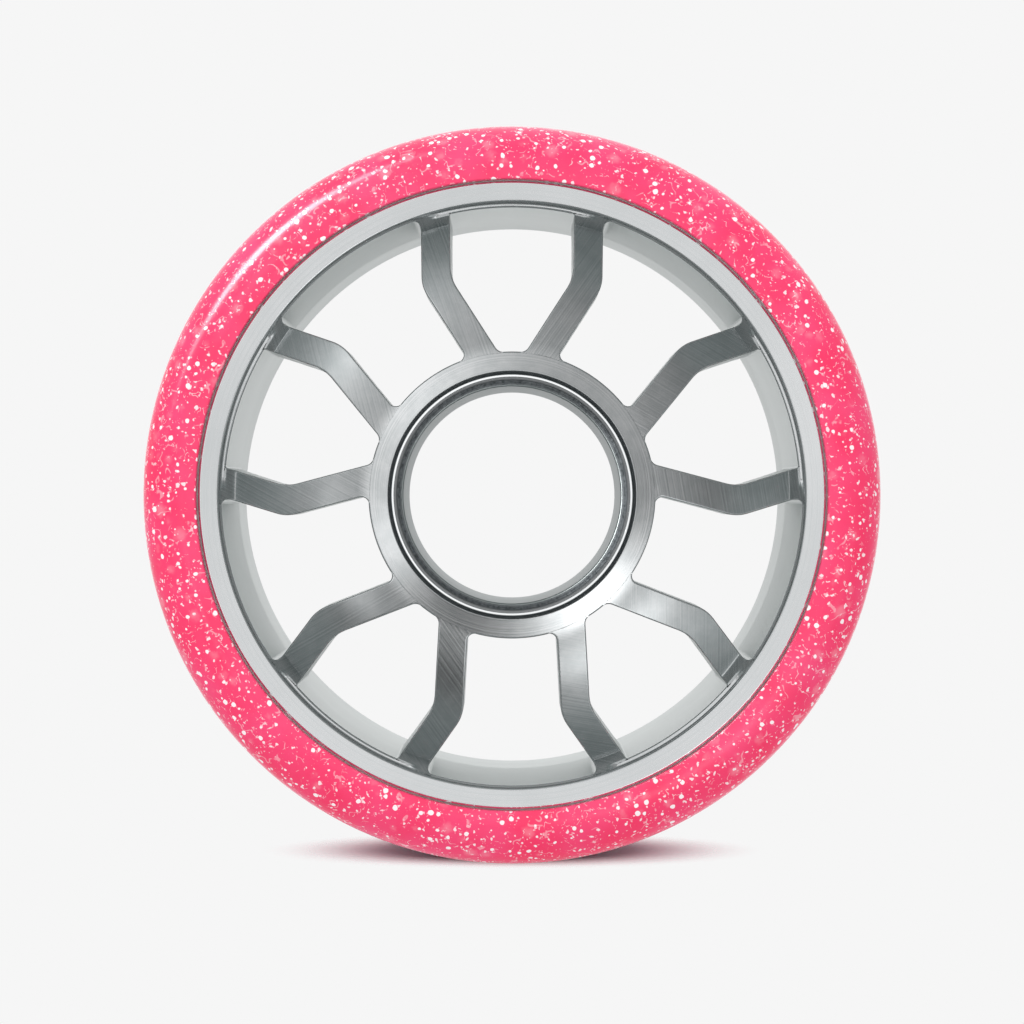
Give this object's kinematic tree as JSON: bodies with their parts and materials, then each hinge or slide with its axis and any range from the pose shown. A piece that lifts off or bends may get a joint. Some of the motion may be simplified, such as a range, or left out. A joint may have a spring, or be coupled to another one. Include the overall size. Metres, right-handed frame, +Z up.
{
  "type": "roller skate wheel",
  "caption": "Roller skate wheel: a glossy speckled polyurethane tyre cast on a machined aluminium hub with bent paired spokes and stepped bearing seats.",
  "frame": {"origin": "centre of the wheel, on its axle line and midway between its two faces", "axes": "+Y along the axle line towards the back of the wheel, so the pictured front faces -Y; +Z up through the middle of a pair of spokes"},
  "size_m": [0.07, 0.033, 0.07],
  "materials": {
    "hub": "turned and brushed, clear",
    "tyre": "glossy cast polyurethane with white flakes"
  },
  "bodies": {
    "root": {"hub": "hub", "tyre": "tyre"}
  },
  "joints": []
}
